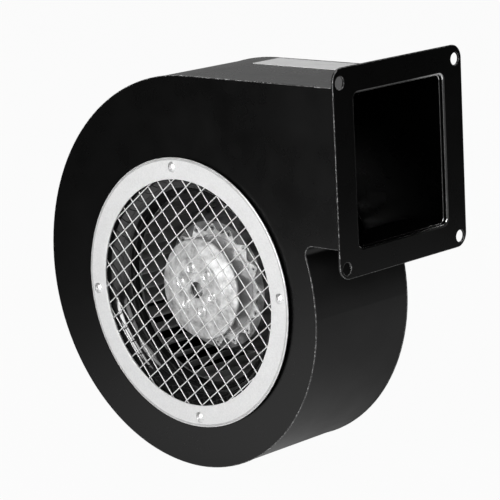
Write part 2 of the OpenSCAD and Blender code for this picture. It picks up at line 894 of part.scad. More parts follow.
// Dished hub: floor on the petals, cone round the motor and rear rim under the blades
module impeller_hub() {
    color(zinc) on_fan_axis() {
        difference() {
            turned()
                polygon([
                    [rotor_r + tab_play, hub_floor_y],
                    [hub_floor_r, hub_floor_y],
                    [cone_rear_r, hub_rim_y],
                    [rim_in_r, hub_rim_y],
                    [rim_in_r, hub_back_y],
                    [cone_rear_r - cone_mitre, hub_back_y],
                    [hub_floor_r - cone_mitre, hub_floor_y + hub_t],
                    [rotor_r + tab_play, hub_floor_y + hub_t]
                ]);
            ring_of(petal_count, petal_hole_r)
                turned() band(0, eyelet_r + slip, hub_floor_y - eps, hub_floor_y + hub_t + eps);
        }
        across(hub_rim_y, hub_t)
            difference() {
                circle(rim_out_r);
                circle(rim_in_r);
                tab_slots();
            }
        turned() band(rim_out_r - hub_t, rim_out_r, hub_rim_y - rim_lip, hub_rim_y);
    }
}

front_plate();
rear_plate();
scroll_wrapper();
outlet_flange();
inlet_nozzle();
guard_ring();
guard_wires_front();
guard_wires_back();
guard_rivets();
motor_plate();
plate_screws();
plate_nuts();
motor_flange();
bearing_tube();
motor_screws();
motor_nuts();
bearing_cap();
cable_grommet();
stator_core();
stator_insulators();
stator_windings();
bearing_outer_rings();
bearing_shields();
rotor_can();
rotor_studs();
rotor_hub();
shaft();
shaft_circlip();
bearing_inner_rings();
bearing_balls();
rotor_core();
rotor_end_rings();
petal_ring();
hub_eyelets();
impeller_hub();
impeller_blades();
impeller_rim();
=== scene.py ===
"""Looks of the centrifugal fan: a finish for every CAD node, and pieces with finer edges."""

import json
import math

import bmesh
import bpy
from mathutils import Matrix, Vector
from mathutils.geometry import tessellate_polygon


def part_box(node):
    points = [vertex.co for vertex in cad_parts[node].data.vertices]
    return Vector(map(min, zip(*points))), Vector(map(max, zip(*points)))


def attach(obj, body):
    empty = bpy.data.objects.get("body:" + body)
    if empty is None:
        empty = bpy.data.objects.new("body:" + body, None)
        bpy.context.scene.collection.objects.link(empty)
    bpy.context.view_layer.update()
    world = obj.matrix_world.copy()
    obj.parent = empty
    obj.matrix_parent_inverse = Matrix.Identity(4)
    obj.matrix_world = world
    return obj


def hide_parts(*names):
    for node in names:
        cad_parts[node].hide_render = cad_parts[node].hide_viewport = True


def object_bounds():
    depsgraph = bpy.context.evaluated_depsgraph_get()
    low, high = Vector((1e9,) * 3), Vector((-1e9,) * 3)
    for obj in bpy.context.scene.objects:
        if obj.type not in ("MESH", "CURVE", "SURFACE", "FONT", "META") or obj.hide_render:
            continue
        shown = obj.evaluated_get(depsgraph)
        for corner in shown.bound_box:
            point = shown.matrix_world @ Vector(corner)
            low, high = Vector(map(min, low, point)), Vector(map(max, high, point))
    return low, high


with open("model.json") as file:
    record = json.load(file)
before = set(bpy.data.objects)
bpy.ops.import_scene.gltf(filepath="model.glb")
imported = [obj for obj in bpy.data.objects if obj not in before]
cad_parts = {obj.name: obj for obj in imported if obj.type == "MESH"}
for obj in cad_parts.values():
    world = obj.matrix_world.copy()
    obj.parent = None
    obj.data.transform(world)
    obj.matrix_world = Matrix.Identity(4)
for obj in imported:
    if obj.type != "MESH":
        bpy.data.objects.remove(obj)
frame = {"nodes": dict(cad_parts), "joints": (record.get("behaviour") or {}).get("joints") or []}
NODES = frame["nodes"]
CAD_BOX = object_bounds()
MM = 0.001
X, Y, Z = range(3)

# Tolerances in metres for points in one plane and in one place, and the angle of a sharp edge
SAME_PLANE = 1e-5
SAME_POINT = 1e-6
CREASE_DEG = 35.0

# Places taken from the frame
FAN_AXIS = Vector(frame["joints"][0]["pos_m"])
DUCT_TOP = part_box("scroll_wrapper")[1].z
FLOOR_Z = CAD_BOX[0].z
CAN_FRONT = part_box("rotor_can")[0].y
CENTRE = (CAD_BOX[0] + CAD_BOX[1]) / 2

# The duct's middle lies close to the origin, so its floor is about as far down as its top is up
DUCT_FLOOR = -DUCT_TOP

# Depth of the can's sloped face, radius of the guard's wires, edges of the label on the duct's top
CAN_FACE_DEPTH = 3.9 * MM
WIRE_R = 0.35 * MM
LABEL_LOW = Vector((-124.5, 14.6)) * MM
LABEL_HIGH = Vector((-52.0, 38.6)) * MM

# View of the photograph: angles in degrees, focal length in pixels of the 500 pixel frame
VIEW_AZIMUTH = 43.5315
VIEW_ELEVATION = 12.1409
VIEW_ROLL = -2.8725
VIEW_FOCAL_PX = 2468.55
VIEW_FRAME_PX = 500
VIEW_POS = Vector((0.86502, -1.03629, 0.24435))
SENSOR_MM = 36.0
CLIP_END = 50.0

# Floor: width in metres, tone, share of white that the camera sees
WHITE = (1.0, 1.0, 1.0, 1.0)
FLOOR_SIZE = 8.0
FLOOR_TONE = (0.25, 0.25, 0.25, 1.0)
FLOOR_WHITE = 0.96

# Pools of light on the floor: place from the fan axis, inner and outer radius in metres, strength
POOLS = (
    ((0.14, -0.38, 0.0), 0.25, 0.54, 1.0),
    ((0.30, 0.26, 0.0), 0.0, 0.36, 0.52),
)

# Room: light, dimness in reflections, backdrop and its way, cosines between which it fades in
ROOM_LIGHT = 0.1
ROOM_DIM = 0.02
BACKDROP = 0.3
BACKDROP_WAY = (-0.69, 0.72, 0.0)
BACKDROP_FADE = (0.5, 0.95)

# Lamps: place from the fan's middle and size in metres, watts, spread in degrees
LAMPS = {
    "front_key": ((-0.12, -1.2, 0.06), (0.4, 0.85), 1.95, 60.0),
    "low_key": ((1.0, -1.12, 0.5), (0.7, 0.9), 0.7, 60.0),
    "high_key": ((0.4, -0.95, 1.15), (0.7, 0.9), 1.1, 60.0),
    "back_box": ((-1.2, 0.7, 1.5), (1.2, 1.2), 9.0, 180.0),
    "rear_fill": ((-0.1, 1.4, -0.02), (0.8, 0.6), 3.0, 180.0),
}


# Materials

def add_node(tree, kind, inputs=None, **settings):
    """Adds a shader node, with its settings and with values or links on its inputs."""
    made = tree.nodes.new(kind)
    for key, value in settings.items():
        setattr(made, key, value)
    for key, value in (inputs or {}).items():
        if isinstance(value, bpy.types.NodeSocket):
            tree.links.new(value, made.inputs[key])
        else:
            made.inputs[key].default_value = value
    return made


def mirror_rays(tree, path):
    """1 for rays that come off a mirror or through glass, from a light path's outputs."""
    values = {0: path["Is Glossy Ray"], 1: path["Is Transmission Ray"]}
    return add_node(tree, "ShaderNodeMath", values, operation="MAXIMUM").outputs[0]


class Shader:
    """A node material with one Principled surface and short calls to wire it."""

    def __init__(self, name, **sockets):
        self.mat = bpy.data.materials.new(name)
        self.mat.use_nodes = True
        self.tree = self.mat.node_tree
        self.bsdf = self.tree.nodes["Principled BSDF"]
        for socket, value in sockets.items():
            self.bsdf.inputs[socket.replace("_", " ")].default_value = value
        self.coords = self.tree.nodes.new("ShaderNodeTexCoord").outputs["Object"]

    def node(self, kind, inputs=None, **settings):
        return add_node(self.tree, kind, inputs, **settings)

    def noise(self, scale, detail=3.0, rough=0.5, stretch=None):
        vector = self.coords
        if stretch:
            vector = self.node("ShaderNodeMapping", {"Vector": vector, "Scale": stretch}).outputs[0]
        values = {"Vector": vector, "Scale": scale, "Detail": detail, "Roughness": rough}
        return self.node("ShaderNodeTexNoise", values).outputs["Fac"]

    def cells(self, scale):
        """Patches of grey, as in a zinc spangle."""
        values = {"Vector": self.coords, "Scale": scale}
        tint = self.node("ShaderNodeTexVoronoi", values).outputs["Color"]
        return self.node("ShaderNodeRGBToBW", {0: tint}).outputs[0]

    def spread(self, fac, low, high):
        """Stretches the usual range of a noise between two values."""
        values = {"Value": fac, "From Min": 0.3, "From Max": 0.7, "To Min": low, "To Max": high}
        return self.node("ShaderNodeMapRange", values).outputs[0]

    def ramp(self, fac, stops):
        made = self.node("ShaderNodeValToRGB", {"Fac": fac})
        elements = made.color_ramp.elements
        while len(elements) < len(stops):
            elements.new(0.5)
        for element, (position, colour) in zip(elements, stops):
            element.position = position
            element.color = (*colour, 1.0)
        return made.outputs["Color"]

    def blend(self, fac, first, second, mode="MIX"):
        values = {0: fac, 6: first, 7: second}
        made = self.node("ShaderNodeMix", values, data_type="RGBA", blend_type=mode)
        return made.outputs[2]

    def along(self, axis, low, high):
        """Runs from 0 to 1 between two places along an axis of the object."""
        split = self.node("ShaderNodeSeparateXYZ", {0: self.coords}).outputs[axis]
        values = {"Value": split, "From Min": low, "From Max": high}
        return self.node("ShaderNodeMapRange", values).outputs[0]

    def scaled(self, fac, low, high):
        """Stretches 0 to 1 between two values."""
        values = {"Value": fac, "To Min": low, "To Max": high}
        return self.node("ShaderNodeMapRange", values).outputs[0]

    def maths(self, operation, *numbers):
        made = self.node("ShaderNodeMath", dict(enumerate(numbers)), operation=operation)
        return made.outputs[0]

    def bump(self, height, strength, distance):
        values = {"Height": height, "Strength": strength, "Distance": distance}
        self.link(self.node("ShaderNodeBump", values).outputs["Normal"], "Normal")

    def link(self, output, socket):
        self.tree.links.new(output, self.bsdf.inputs[socket])


def grey(value):
    """Colour with equal red, green and blue."""
    return (value, value, value)


def powder_coat(name, paler_below=None):
    """Semi-matt black powder coat with a fine orange peel, paler and rougher below a height if one is
    given.
    """
    s = Shader(name, Specular_IOR_Level=0.32)
    tone = s.ramp(s.noise(9.0, 4.0, 0.6), [(0.35, grey(0.0005)), (0.7, grey(0.0009))])
    rough = s.spread(s.noise(35.0, 5.0, 0.6), 0.25, 0.32)
    if paler_below is not None:
        # Below the given height the coat fades to a paler, rougher tone
        low = s.along(Z, paler_below, paler_below - 12.0 * MM)
        pale_bottom = s.ramp(s.noise(40.0, 4.0, 0.6), [(0.3, grey(0.013)), (0.7, grey(0.016))])
        tone = s.blend(low, tone, pale_bottom)
        rough = s.maths("ADD", rough, s.scaled(low, 0.0, 0.12))
    s.link(tone, "Base Color")
    s.link(rough, "Roughness")
    s.bump(s.noise(1100.0, 2.0), 0.10, 0.0002)
    return s.mat


def edge_wear_and_highlight():
    """Powder coat drawn thin over a sheet's edge, rubbed grey in places; the grey also serves as a
    painted highlight along the edge.
    """
    s = Shader("edge_wear_and_highlight", Specular_IOR_Level=0.7)
    wear = s.noise(620.0, 5.0, 0.75)
    # Grey flecks on the edge: part wear, part painted highlight of the rounded edge
    s.link(s.ramp(wear, [(0.38, grey(0.006)), (0.5, grey(0.05)), (0.62, grey(0.34))]), "Base Color")
    s.link(s.spread(s.noise(90.0, 4.0), 0.2, 0.34), "Roughness")
    s.bump(s.noise(900.0, 3.0), 0.2, 0.0002)
    return s.mat


def bend_wear_and_highlight():
    """Glossy powder coat flowed thin over a rolled bend with speckled wear; its colour turns bright
    towards the rear, a painted highlight on that side of the bend.
    """
    s = Shader("bend_wear_and_highlight", Metallic=1.0)
    wear = s.noise(700.0, 4.0, 0.7)
    dull = s.ramp(wear, [(0.36, grey(0.08)), (0.64, grey(0.16))])
    bright = s.ramp(wear, [(0.36, grey(0.7)), (0.64, grey(0.95))])
    # Dull towards the front, bright towards the rear: a painted highlight on the rear part of the bend
    s.link(s.blend(s.along(Y, 10.0 * MM, 39.0 * MM), dull, bright), "Base Color")
    s.link(s.spread(s.noise(120.0, 4.0), 0.1, 0.16), "Roughness")
    s.bump(s.noise(900.0, 2.0), 0.12, 0.0002)
    return s.mat


def gloss_black():
    """Spun gloss-black nozzle with faint waves."""
    s = Shader("gloss_black", Specular_IOR_Level=0.65)
    s.link(s.ramp(s.noise(14.0), [(0.3, grey(0.006)), (0.7, grey(0.010))]), "Base Color")
    s.link(s.spread(s.noise(60.0, 4.0), 0.07, 0.11), "Roughness")
    s.bump(s.noise(220.0, 2.0), 0.02, 0.0004)
    return s.mat


def zinc_sheet():
    """Zinc-coated sheet: pale satin grey with a fine grain and a faint spangle."""
    s = Shader("zinc_sheet", Metallic=0.25, Specular_IOR_Level=0.4)
    tone = s.ramp(s.noise(900.0, 4.0, 0.7), [(0.3, grey(0.66)), (0.7, grey(0.76))])
    s.link(s.blend(0.05, tone, s.cells(260.0), "OVERLAY"), "Base Color")
    s.link(s.spread(s.noise(120.0, 4.0), 0.5, 0.62), "Roughness")
    s.bump(s.noise(900.0, 3.0), 0.08, 0.0002)
    return s.mat


def edge_zinc(name, low, high, metal):
    """Zinc along the guard ring's rolled edge; its light copy is a painted highlight on the bead, its
    dark copy painted shade in the groove.
    """
    s = Shader(name, Metallic=metal, Specular_IOR_Level=0.5)
    s.link(s.ramp(s.noise(300.0, 4.0), [(0.3, grey(low)), (0.7, grey(high))]), "Base Color")
    s.link(s.spread(s.noise(200.0, 3.0), 0.3, 0.42), "Roughness")
    return s.mat


def can_zinc():
    """Drawn rotor can: cloudy pale zinc on the face, burnished and darker down the side."""
    s = Shader("can_zinc", Specular_IOR_Level=0.4)
    cloud = s.noise(170.0, 6.0, 0.65)
    tone = s.ramp(cloud, [(0.32, grey(0.28)), (0.48, grey(0.53)), (0.66, grey(0.76))])
    face = s.blend(0.14, tone, s.cells(330.0), "OVERLAY")
    side = s.ramp(s.noise(60.0, 5.0, 0.6), [(0.3, grey(0.5)), (0.7, grey(0.78))])
    down = s.along(Y, CAN_FRONT + CAN_FACE_DEPTH, CAN_FRONT + CAN_FACE_DEPTH + 0.8 * MM)
    s.link(s.blend(down, face, side), "Base Color")
    s.link(s.scaled(down, 0.52, 0.62), "Metallic")
    grain = s.spread(s.noise(200.0, 5.0), 0.42, 0.56)
    s.link(s.maths("SUBTRACT", grain, s.scaled(down, 0.0, 0.28)), "Roughness")
    s.bump(s.noise(240.0, 4.0), 0.3, 0.0006)
    return s.mat


def petal_zinc():
    """Pale rolled zinc of the pressed petals."""
    s = Shader("petal_zinc", Metallic=0.5, Specular_IOR_Level=0.4)
    s.link(s.ramp(s.noise(110.0, 5.0, 0.6), [(0.38, grey(0.46)), (0.62, grey(0.95))]), "Base Color")
    s.link(s.spread(s.noise(180.0, 4.0), 0.3, 0.46), "Roughness")
    s.bump(s.noise(500.0, 3.0), 0.1, 0.0003)
    return s.mat


def bright_wire():
    """Zinc-plated wire."""
    s = Shader("bright_wire", Metallic=0.3, Specular_IOR_Level=0.4)
    s.link(s.ramp(s.noise(300.0, 3.0), [(0.3, grey(0.68)), (0.7, grey(0.78))]), "Base Color")
    s.link(s.spread(s.noise(500.0, 3.0), 0.42, 0.55), "Roughness")
    return s.mat


def rivet_alloy():
    """Bright aluminium of the blind rivets."""
    s = Shader("rivet_alloy", Metallic=0.7)
    s.link(s.ramp(s.noise(500.0, 4.0), [(0.3, grey(0.70)), (0.7, grey(0.88))]), "Base Color")
    s.link(s.spread(s.noise(600.0, 3.0), 0.24, 0.36), "Roughness")
    return s.mat


def wheel_steel(name, low, high, clouds=45.0):
    """Dull rolled steel of the wheel with cloudy tones; the hub's far darker tones are painted shade
    where it shows between the petals.
    """
    s = Shader(name, Metallic=0.6)
    s.link(s.ramp(s.noise(clouds, 5.0), [(0.35, grey(low)), (0.65, grey(high))]), "Base Color")
    s.link(s.spread(s.noise(160.0, 4.0), 0.36, 0.52), "Roughness")
    s.bump(s.noise(700.0, 3.0), 0.06, 0.0003)
    return s.mat


def rotor_hub_painted_shade():
    """Dark steel of the rotor hub, its darkness painted shade in the recess behind the can's centre hole.
    """
    s = Shader("rotor_hub_painted_shade", Metallic=0.9)
    # Painted shade: the hub is coloured dark so the can's centre hole reads dark
    s.link(s.ramp(s.noise(180.0, 4.0), [(0.3, grey(0.06)), (0.7, grey(0.14))]), "Base Color")
    s.link(s.spread(s.noise(400.0, 3.0), 0.22, 0.34), "Roughness")
    return s.mat


def plated_steel():
    """Zinc-plated and ground steel of fasteners, shaft and bearings."""
    s = Shader("plated_steel", Metallic=1.0)
    s.link(s.ramp(s.noise(180.0, 4.0), [(0.3, grey(0.55)), (0.7, grey(0.72))]), "Base Color")
    s.link(s.spread(s.noise(400.0, 3.0), 0.25, 0.4), "Roughness")
    return s.mat


def cast_alloy():
    """As-cast aluminium with a fine grain."""
    s = Shader("cast_alloy", Metallic=1.0)
    s.link(s.ramp(s.noise(90.0, 5.0), [(0.3, grey(0.46)), (0.7, grey(0.62))]), "Base Color")
    s.link(s.spread(s.noise(300.0, 4.0), 0.42, 0.6), "Roughness")
    s.bump(s.noise(1300.0, 3.0), 0.25, 0.0003)
    return s.mat


def core_iron():
    """Stacked laminations: fine lines across the fan axis."""
    s = Shader("core_iron", Metallic=0.9)
    lines = s.noise(900.0, 1.0, 0.5, stretch=(0.02, 1.0, 0.02))
    s.link(s.ramp(lines, [(0.35, grey(0.08)), (0.65, grey(0.2))]), "Base Color")
    s.link(s.spread(lines, 0.4, 0.6), "Roughness")
    s.bump(lines, 0.3, 0.0003)
    return s.mat


def copper_coil():
    """Enamelled copper with the winding's strands."""
    s = Shader("copper_coil", Metallic=0.9)
    strands = s.noise(700.0, 2.0, 0.5, stretch=(1.0, 0.15, 1.0))
    s.link(s.ramp(strands, [(0.35, (0.22, 0.07, 0.02)), (0.65, (0.48, 0.19, 0.07))]), "Base Color")
    s.link(s.spread(strands, 0.25, 0.4), "Roughness")
    s.bump(strands, 0.4, 0.0004)
    return s.mat


def moulded(name, low, high, rough):
    """Rubber, plastic or paper with a fine grain."""
    s = Shader(name)
    s.link(s.ramp(s.noise(120.0, 4.0), [(0.3, low), (0.7, high)]), "Base Color")
    s.link(s.spread(s.noise(400.0, 3.0), rough - 0.06, rough + 0.06), "Roughness")
    s.bump(s.noise(1500.0, 2.0), 0.15, 0.0002)
    return s.mat


COAT = powder_coat("powder_coat")
WRAPPER = powder_coat("wrapper_coat", DUCT_FLOOR - 2.0 * MM)
EDGE_WEAR_AND_HIGHLIGHT = edge_wear_and_highlight()
BEND_WEAR_AND_HIGHLIGHT = bend_wear_and_highlight()
GLOSS = gloss_black()
ZINC = zinc_sheet()
# Painted highlight on the ring's bead and painted shade in its groove
BEAD_HIGHLIGHT = edge_zinc("bead_painted_highlight", 0.84, 0.92, 0.6)
GROOVE_SHADE = edge_zinc("groove_painted_shade", 0.46, 0.54, 0.2)
CAN = can_zinc()
PETAL = petal_zinc()
WIRE = bright_wire()
BLADE = wheel_steel("blade_steel", 0.40, 0.60)
# The wheel's hub gets far darker tones: painted shade between the petals
HUB_SHADE = wheel_steel("hub_steel_painted_shade", 0.07, 0.24, 130.0)
RIM = wheel_steel("rim_steel", 0.40, 0.58)
ROTOR_HUB_SHADE = rotor_hub_painted_shade()
RIVET = rivet_alloy()
PLATED = plated_steel()
ALLOY = cast_alloy()
IRON = core_iron()
COPPER = copper_coil()
RUBBER = moulded("grommet_rubber", grey(0.012), grey(0.022), 0.6)
NYLON = moulded("insulator_nylon", (0.7, 0.68, 0.6), (0.8, 0.78, 0.7), 0.5)
PAPER = moulded("label_paper", grey(0.84), grey(0.93), 0.6)

FINISHES = {
    "scroll_wrapper": WRAPPER, "inlet_nozzle": GLOSS, "guard_ring": ZINC,
    "guard_wires_front": WIRE, "guard_wires_back": WIRE, "rotor_can": CAN, "petal_ring": PETAL,
    "rotor_studs": RIVET, "hub_eyelets": PLATED, "impeller_hub": HUB_SHADE, "impeller_blades": BLADE,
    "impeller_rim": RIM, "bearing_shields": ZINC, "plate_nuts": PLATED, "motor_nuts": PLATED,
    "shaft": PLATED, "shaft_circlip": PLATED, "bearing_outer_rings": PLATED,
    "bearing_inner_rings": PLATED, "bearing_balls": PLATED, "bearing_tube": PLATED,
    "rotor_hub": ROTOR_HUB_SHADE, "rotor_end_rings": ALLOY, "stator_core": IRON, "rotor_core": IRON,
    "stator_windings": COPPER, "stator_insulators": NYLON, "cable_grommet": RUBBER,
    "front_plate": COAT, "rear_plate": COAT, "outlet_flange": COAT, "motor_plate": COAT,
    "guard_rivets": PLATED, "plate_screws": PLATED, "motor_screws": PLATED, "bearing_cap": ZINC,
    "motor_flange": ALLOY,
}
for name, material in FINISHES.items():
    slots = NODES[name].data.materials
    slots.clear()
    slots.append(material)


# Balls whose poles come as several points in one place

NODES["bearing_balls"].modifiers.new("joined_poles", "WELD").merge_threshold = SAME_POINT


# Sheets with soft edges, drawn from the outlines of CAD faces

# Finish slots of a sheet: its face, its edges, its bends. On coated sheets edges and bends carry wear
# with a painted highlight; on the guard ring the edge slot is the bead's painted highlight and the bend
# slot the groove's painted shade.
FACE, EDGE_STRIP, BEND = range(3)
COATED = (COAT, EDGE_WEAR_AND_HIGHLIGHT, BEND_WEAR_AND_HIGHLIGHT)


def ring_faces(first, count, rings):
    """Quads between rings of count verts that follow each other from the index first."""
    faces = []
    for low in range(first, first + (rings - 1) * count, count):
        for i in range(count):
            j = (i + 1) % count
            faces.append((low + i, low + j, low + count + j, low + count + i))
    return faces


def end_faces(total, count):
    """Faces that close the first and the last ring."""
    return [tuple(range(count)), tuple(range(total - count, total))]


def joined(meshes):
    """Verts and faces of several meshes in one."""
    verts, faces = [], []
    for more, sides in meshes:
        faces += [tuple(i + len(verts) for i in face) for face in sides]
        verts += more
    return verts, faces


def quarter_turn(inset, depth, radius, finish, steps=5):
    """Rings of a rounded corner, from facing out of the sheet to facing away from its material."""
    rings = []
    for i in range(steps + 1):
        angle = math.pi / 2 * i / steps
        place = (inset + radius * (1 - math.sin(angle)), depth + radius * (1 - math.cos(angle)))
        rings.append((*place, -math.sin(angle), -math.cos(angle), finish if i < steps else FACE))
    return rings


def rounded_edge(bevel, depth, side=FACE):
    """Profile of a sheet's edge: inset, depth, normal in those terms, finish of the next strip."""
    near = quarter_turn(0.0, 0.0, bevel, EDGE_STRIP)
    far = [(inset, depth - d, n_in, -n_d, side) for inset, d, n_in, n_d, _ in reversed(near)]
    return near[:-1] + [(*near[-1][:4], side)] + far


def rolled_collar(bend, thick, end, back):
    """Profile of an opening rolled back into a collar, in which the duct's edge shows as a small step."""
    step_at, step_in, nose, corner = 2.4 * MM, 0.6 * MM, 0.4 * MM, 0.05 * MM
    inner = -step_in
    foot = [(0.0, step_at - corner, -1.0, 0.0), (-corner, step_at, 0.0, -1.0)]
    walls = [(inner, end - corner, -1.0, 0.0), (inner + corner, end, 0.0, 1.0),
             (thick - corner, end, 0.0, 1.0), (thick, end - corner, 1.0, 0.0),
             (thick, back + corner, 1.0, 0.0), (thick + corner, back, 0.0, 1.0)]
    return [
        *quarter_turn(0.0, 0.0, bend, BEND), *[(*place, FACE) for place in foot],
        *quarter_turn(inner, step_at, nose, BEND), *[(*place, FACE) for place in walls],
    ]


def face_loops(node, axis, level):
    """Closed outlines of a CAD node's flat face, outer loops anticlockwise and holes clockwise."""
    others = [i for i in range(3) if i != axis]
    mesh = NODES[node].data
    key = [tuple(round(c / MM, 3) for c in v.co) for v in mesh.vertices]
    sides = {}
    for polygon in mesh.polygons:
        places = [key[i] for i in polygon.vertices]
        if all(abs(p[axis] * MM - level) < SAME_PLANE for p in places):
            flat = [tuple(p[i] for i in others) for p in places]
            if signed_area(flat) < 0:
                flat.reverse()
            for a, b in zip(flat, flat[1:] + flat[:1]):
                sides[(a, b)] = sides.get((a, b), 0) + 1
    border = {a: b for a, b in sides if (b, a) not in sides}
    loops = []
    while border:
        start, point = border.popitem()
        loop = [start]
        while point != start:
            loop.append(point)
            point = border.pop(point)
        loops.append([Vector(p) * MM for p in loop])
    return sorted(loops, key=lambda loop: -abs(signed_area(loop)))


def signed_area(loop):
    """Area inside a closed outline, positive if it runs anticlockwise."""
    pairs = zip(loop, loop[1:] + loop[:1])
    return sum(a[0] * b[1] - b[0] * a[1] for a, b in pairs) / 2


def inset_ways(loop):
    """For each point of a loop, the way into the sheet that moves both its sides by one unit."""
    ways = []
    for before, here, after in zip(loop[-1:] + loop[:-1], loop, loop[1:] + loop[:1]):
        first, second = (here - before).normalized(), (after - here).normalized()
        left = Vector((-first.y - second.y, first.x + second.x))
        ways.append(left / (1 + first.dot(second)))
    return ways


def soft_sheet(name, axis, level, sign, outlines, materials, stands_for=()):
    """A flat sheet whose outlines each follow an edge profile; depth runs from level along sign."""
    others = [i for i in range(3) if i != axis]
    verts, faces, normals, finishes = [], [], [], []
    caps = ([], [])

    def point(flat, depth):
        co = Vector((0.0, 0.0, 0.0))
        co[others[0]], co[others[1]], co[axis] = flat.x, flat.y, depth
        return co

    for loop, profile in outlines:
        ways = inset_ways(loop)
        count = len(loop)
        first = len(verts)
        for inset, depth, n_in, n_depth, _ in profile:
            for p, way in zip(loop, ways):
                verts.append(point(p + way * inset, level + sign * depth))
                normals.append(point(way.normalized() * n_in, sign * n_depth))
        faces += ring_faces(first, count, len(profile))
        for *_, finish in profile[:-1]:
            finishes += [finish] * count
        caps[0].append(list(range(first, first + count)))
        caps[1].append(list(range(len(verts) - count, len(verts))))
    for rings in caps:
        index = [i for ring in rings for i in ring]
        flat = [[Vector((verts[i][others[0]], verts[i][others[1]], 0.0)) for i in ring] for ring in rings]
        faces += [tuple(index[i] for i in tri) for tri in tessellate_polygon(flat)]
    piece = add_piece(name, verts, faces, materials[0], "housing", stands_for, normals)
    for material in materials[1:]:
        piece.data.materials.append(material)
    for polygon, finish in zip(piece.data.polygons, finishes):
        polygon.material_index = finish


def add_piece(name, verts, faces, material, body, stands_for=(), normals=None):
    """Makes a mesh piece that rides on a body, smooth except across creases or by its own normals."""
    mesh = bpy.data.meshes.new(name)
    mesh.from_pydata(verts, [], faces)
    made = bmesh.new()
    made.from_mesh(mesh)
    bmesh.ops.recalc_face_normals(made, faces=made.faces)
    made.to_mesh(mesh)
    made.free()
    mesh.materials.append(material)
    mesh.shade_smooth()
    if normals:
        mesh.normals_split_custom_set_from_vertices(normals)
    else:
        mesh.set_sharp_from_angle(angle=math.radians(CREASE_DEG))
    piece = bpy.data.objects.new(name, mesh)
    bpy.context.scene.collection.objects.link(piece)
    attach(piece, body)
    if stands_for:
        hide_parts(*stands_for)
    return piece


def plain_sheet(node, axis, from_high, bevel):
    """Redraws a coated CAD sheet of even thickness with soft edges."""
    low, high = (corner[axis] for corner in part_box(node))
    level, sign = (high, -1) if from_high else (low, 1)
    edge = rounded_edge(bevel, high - low, EDGE_STRIP)
    outlines = [(loop, edge) for loop in face_loops(node, axis, level)]
    soft_sheet(node + "_sheet", axis, level, sign, outlines, COATED, (node,))


plain_sheet("front_plate", Y, False, 0.45 * MM)
plain_sheet("rear_plate", Y, True, 0.45 * MM)
plain_sheet("motor_plate", Y, True, 0.5 * MM)


def beaded_ring():
    """Guard ring: a fine groove with painted shade sets a rounded bead with a painted highlight off from
    the flat face.
    """
    low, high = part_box("guard_ring")
    thick = high.y - low.y
    # Inset and depth in mm, then the normal in those terms
    groove = [(1.7, 0.0, 0.0, -1.0), (1.5, 0.14, -0.3, -0.95),
              (1.0, 0.14, 0.3, -0.95), (0.8, 0.0, 0.0, -1.0)]
    # The groove's rings take the bend slot, which on this ring holds the groove's painted shade
    bead = [(inset * MM, depth * MM, n_in, n_d, BEND) for inset, depth, n_in, n_d in groove]
    # The rounded outer edge takes the bead's painted highlight
    edge = rounded_edge(0.45 * MM, thick, EDGE_STRIP)
    fine = rounded_edge(0.2 * MM, thick)
    loops = face_loops("guard_ring", Y, low.y)
    outlines = [(loop, bead + edge if i == 0 else fine) for i, loop in enumerate(loops)]
    soft_sheet("guard_ring_beaded", Y, low.y, 1, outlines, (ZINC, BEAD_HIGHLIGHT, GROOVE_SHADE), ("guard_ring",))


beaded_ring()


def flange_sheet():
    """Outlet flange: soft outer edge and holes, opening rolled back into its collar."""
    sheet, bend, thick = 1.5 * MM, 1.2 * MM, 1.0 * MM
    low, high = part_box("outlet_flange")
    loops = face_loops("outlet_flange", X, high.x)
    edge = rounded_edge(0.45 * MM, sheet)
    collar = rolled_collar(bend, thick, high.x - low.x, sheet)
    # The loops come largest first: outer edge, opening, bolt holes
    outlines = [(loop, collar if i == 1 else edge) for i, loop in enumerate(loops)]
    soft_sheet("flange_sheet", X, high.x, -1, outlines, COATED, ("outlet_flange",))


flange_sheet()


# Turned fasteners

def ring_points(radius, sides, count):
    """Points round the axis: a circle, or a hexagon with the same count of points."""
    points = []
    for i in range(count):
        angle = 2 * math.pi * i / count
        within = (angle % (math.pi / 3)) - math.pi / 6
        reach = radius if sides == 0 else radius * math.cos(math.pi / 6) / math.cos(within)
        points.append((reach * math.cos(angle), reach * math.sin(angle)))
    return points


def turned_rings(profile, centre, sign, count=48):
    """Verts and faces of rings along the fan axis: radius, height and 0 or 6 sides for each ring."""
    verts = []
    for radius, height, sides in profile:
        for x, z in ring_points(radius, sides, count):
            verts.append(centre + Vector((x, sign * height, z)))
    return verts, ring_faces(0, count, len(profile)) + end_faces(len(verts), count)


def solids_of(node):
    """Points of each separate solid of a CAD node, found by their touching verts."""
    made = bmesh.new()
    made.from_mesh(NODES[node].data)
    bmesh.ops.remove_doubles(made, verts=made.verts, dist=SAME_POINT)
    solids, met = [], set()
    for start in made.verts:
        if start in met:
            continue
        met.add(start)
        group = [start]
        for vert in group:
            for edge in vert.link_edges:
                other = edge.other_vert(vert)
                if other not in met:
                    met.add(other)
                    group.append(other)
        solids.append([vert.co.copy() for vert in group])
    made.free()
    return solids


def corners(points):
    """Lowest and highest corner of the box round some points."""
    return [Vector(pick(p[i] for p in points) for i in range(3)) for pick in (min, max)]


def fasteners(node, seat, sign, shape, material):
    """Replaces a node of equal fasteners by turned ones, with heads that stand out along sign."""
    turned = []
    for low, high in map(corners, solids_of(node)):
        radius = (high.x - low.x) / 2
        ends = (high.y - seat, seat - low.y)
        head, length = ends if sign > 0 else ends[::-1]
        centre = Vector(((low.x + high.x) / 2, seat, (low.z + high.z) / 2))
        turned.append(turned_rings(shape(radius, head, length), centre, sign))
    add_piece(node + "_turned", *joined(turned), material, "housing", (node,))


